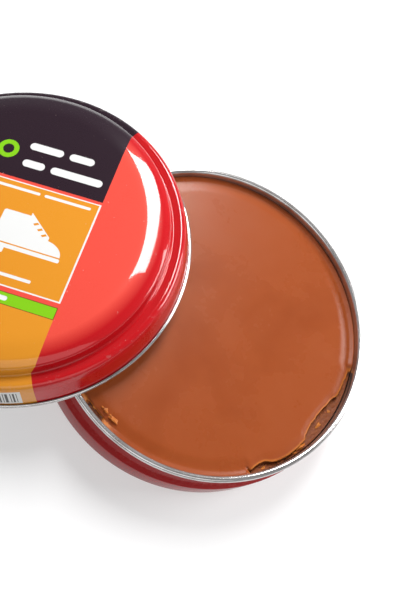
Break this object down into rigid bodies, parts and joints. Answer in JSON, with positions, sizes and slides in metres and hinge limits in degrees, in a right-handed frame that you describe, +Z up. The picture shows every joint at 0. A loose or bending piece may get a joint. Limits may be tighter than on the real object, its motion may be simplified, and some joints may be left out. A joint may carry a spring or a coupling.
{
  "type": "shoe polish tin",
  "caption": "Open round shoe polish tin: a shallow curled-rim can full of set wax with a broken edge, and a stepped printed lid that leans on the rim.",
  "frame": {"origin": "centre of the can's underside, on the surface it stands on", "axes": "+Z up along the can's axis; the lid lies towards -X, leaning on the can's rim; +Y is square to both"},
  "size_m": [0.1187, 0.0754, 0.0277],
  "materials": {
    "can_lacquer": "glossy dark red lacquer over tinplate, bare tin on the curled rim",
    "lid_print": "glossy printed and varnished tinplate, bare tin on the rolled hem",
    "polish_wax": "smooth satin wax, duller where it is broken"
  },
  "bodies": {
    "can": {"base_can": "can_lacquer", "wax_cake": "polish_wax", "wax_crumbs": "polish_wax"},
    "lid": {"lid": "lid_print"}
  },
  "joints": [
    {"name": "lid_lift", "type": "slide", "parent": "can", "child": "lid", "axis": [0, 0, 1], "range_m": [0, 0.04]}
  ]
}
